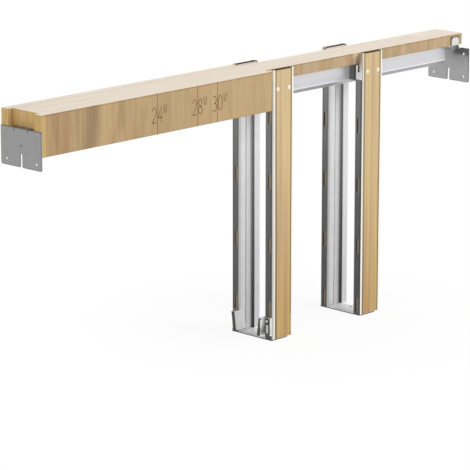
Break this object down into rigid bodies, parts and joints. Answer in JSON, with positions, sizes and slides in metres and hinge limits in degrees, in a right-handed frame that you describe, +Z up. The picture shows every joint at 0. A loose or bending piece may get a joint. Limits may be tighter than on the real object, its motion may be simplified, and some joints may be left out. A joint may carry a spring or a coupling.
{
  "type": "pocket door frame",
  "caption": "Pocket door frame: wood header with a hanging track underneath, steel-clad split studs on floor plates and nailing plates at both ends.",
  "frame": {"origin": "on the floor, under the middle of the frame's length and depth", "axes": "+X along the header from the doorway end to the pocket end, +Y from the front face to the back face, +Z up"},
  "size_m": [0.98, 0.0888, 0.4432],
  "materials": {
    "header_wood": "planed softwood",
    "nailer_wood": "planed softwood",
    "stud_wood": "planed softwood",
    "track_aluminium": "mill",
    "bracket_steel": "galvanised",
    "stud_steel": "galvanised",
    "clip_steel": "galvanised",
    "strap_steel": "galvanised",
    "floor_steel": "galvanised",
    "guide_steel": "galvanised"
  },
  "bodies": {
    "root": {"door_guide_back": "guide_steel", "door_guide_front": "guide_steel", "end_bracket_left": "bracket_steel", "end_bracket_right": "bracket_steel", "floor_plate_1": "floor_steel", "floor_plate_2": "floor_steel", "header_board": "header_wood", "header_packing": "header_wood", "nailer_back": "nailer_wood", "nailer_front": "nailer_wood", "stud_channel_back_1": "stud_steel", "stud_channel_back_2": "stud_steel", "stud_channel_front_1": "stud_steel", "stud_channel_front_2": "stud_steel", "stud_clip_back_1": "clip_steel", "stud_clip_back_2": "clip_steel", "stud_clip_front_1": "clip_steel", "stud_clip_front_2": "clip_steel", "stud_core_back_1": "stud_wood", "stud_core_back_2": "stud_wood", "stud_core_front_1": "stud_wood", "stud_core_front_2": "stud_wood", "stud_strap_back_1": "strap_steel", "stud_strap_back_2": "strap_steel", "stud_strap_front_1": "strap_steel", "stud_strap_front_2": "strap_steel", "track": "track_aluminium"}
  },
  "joints": []
}
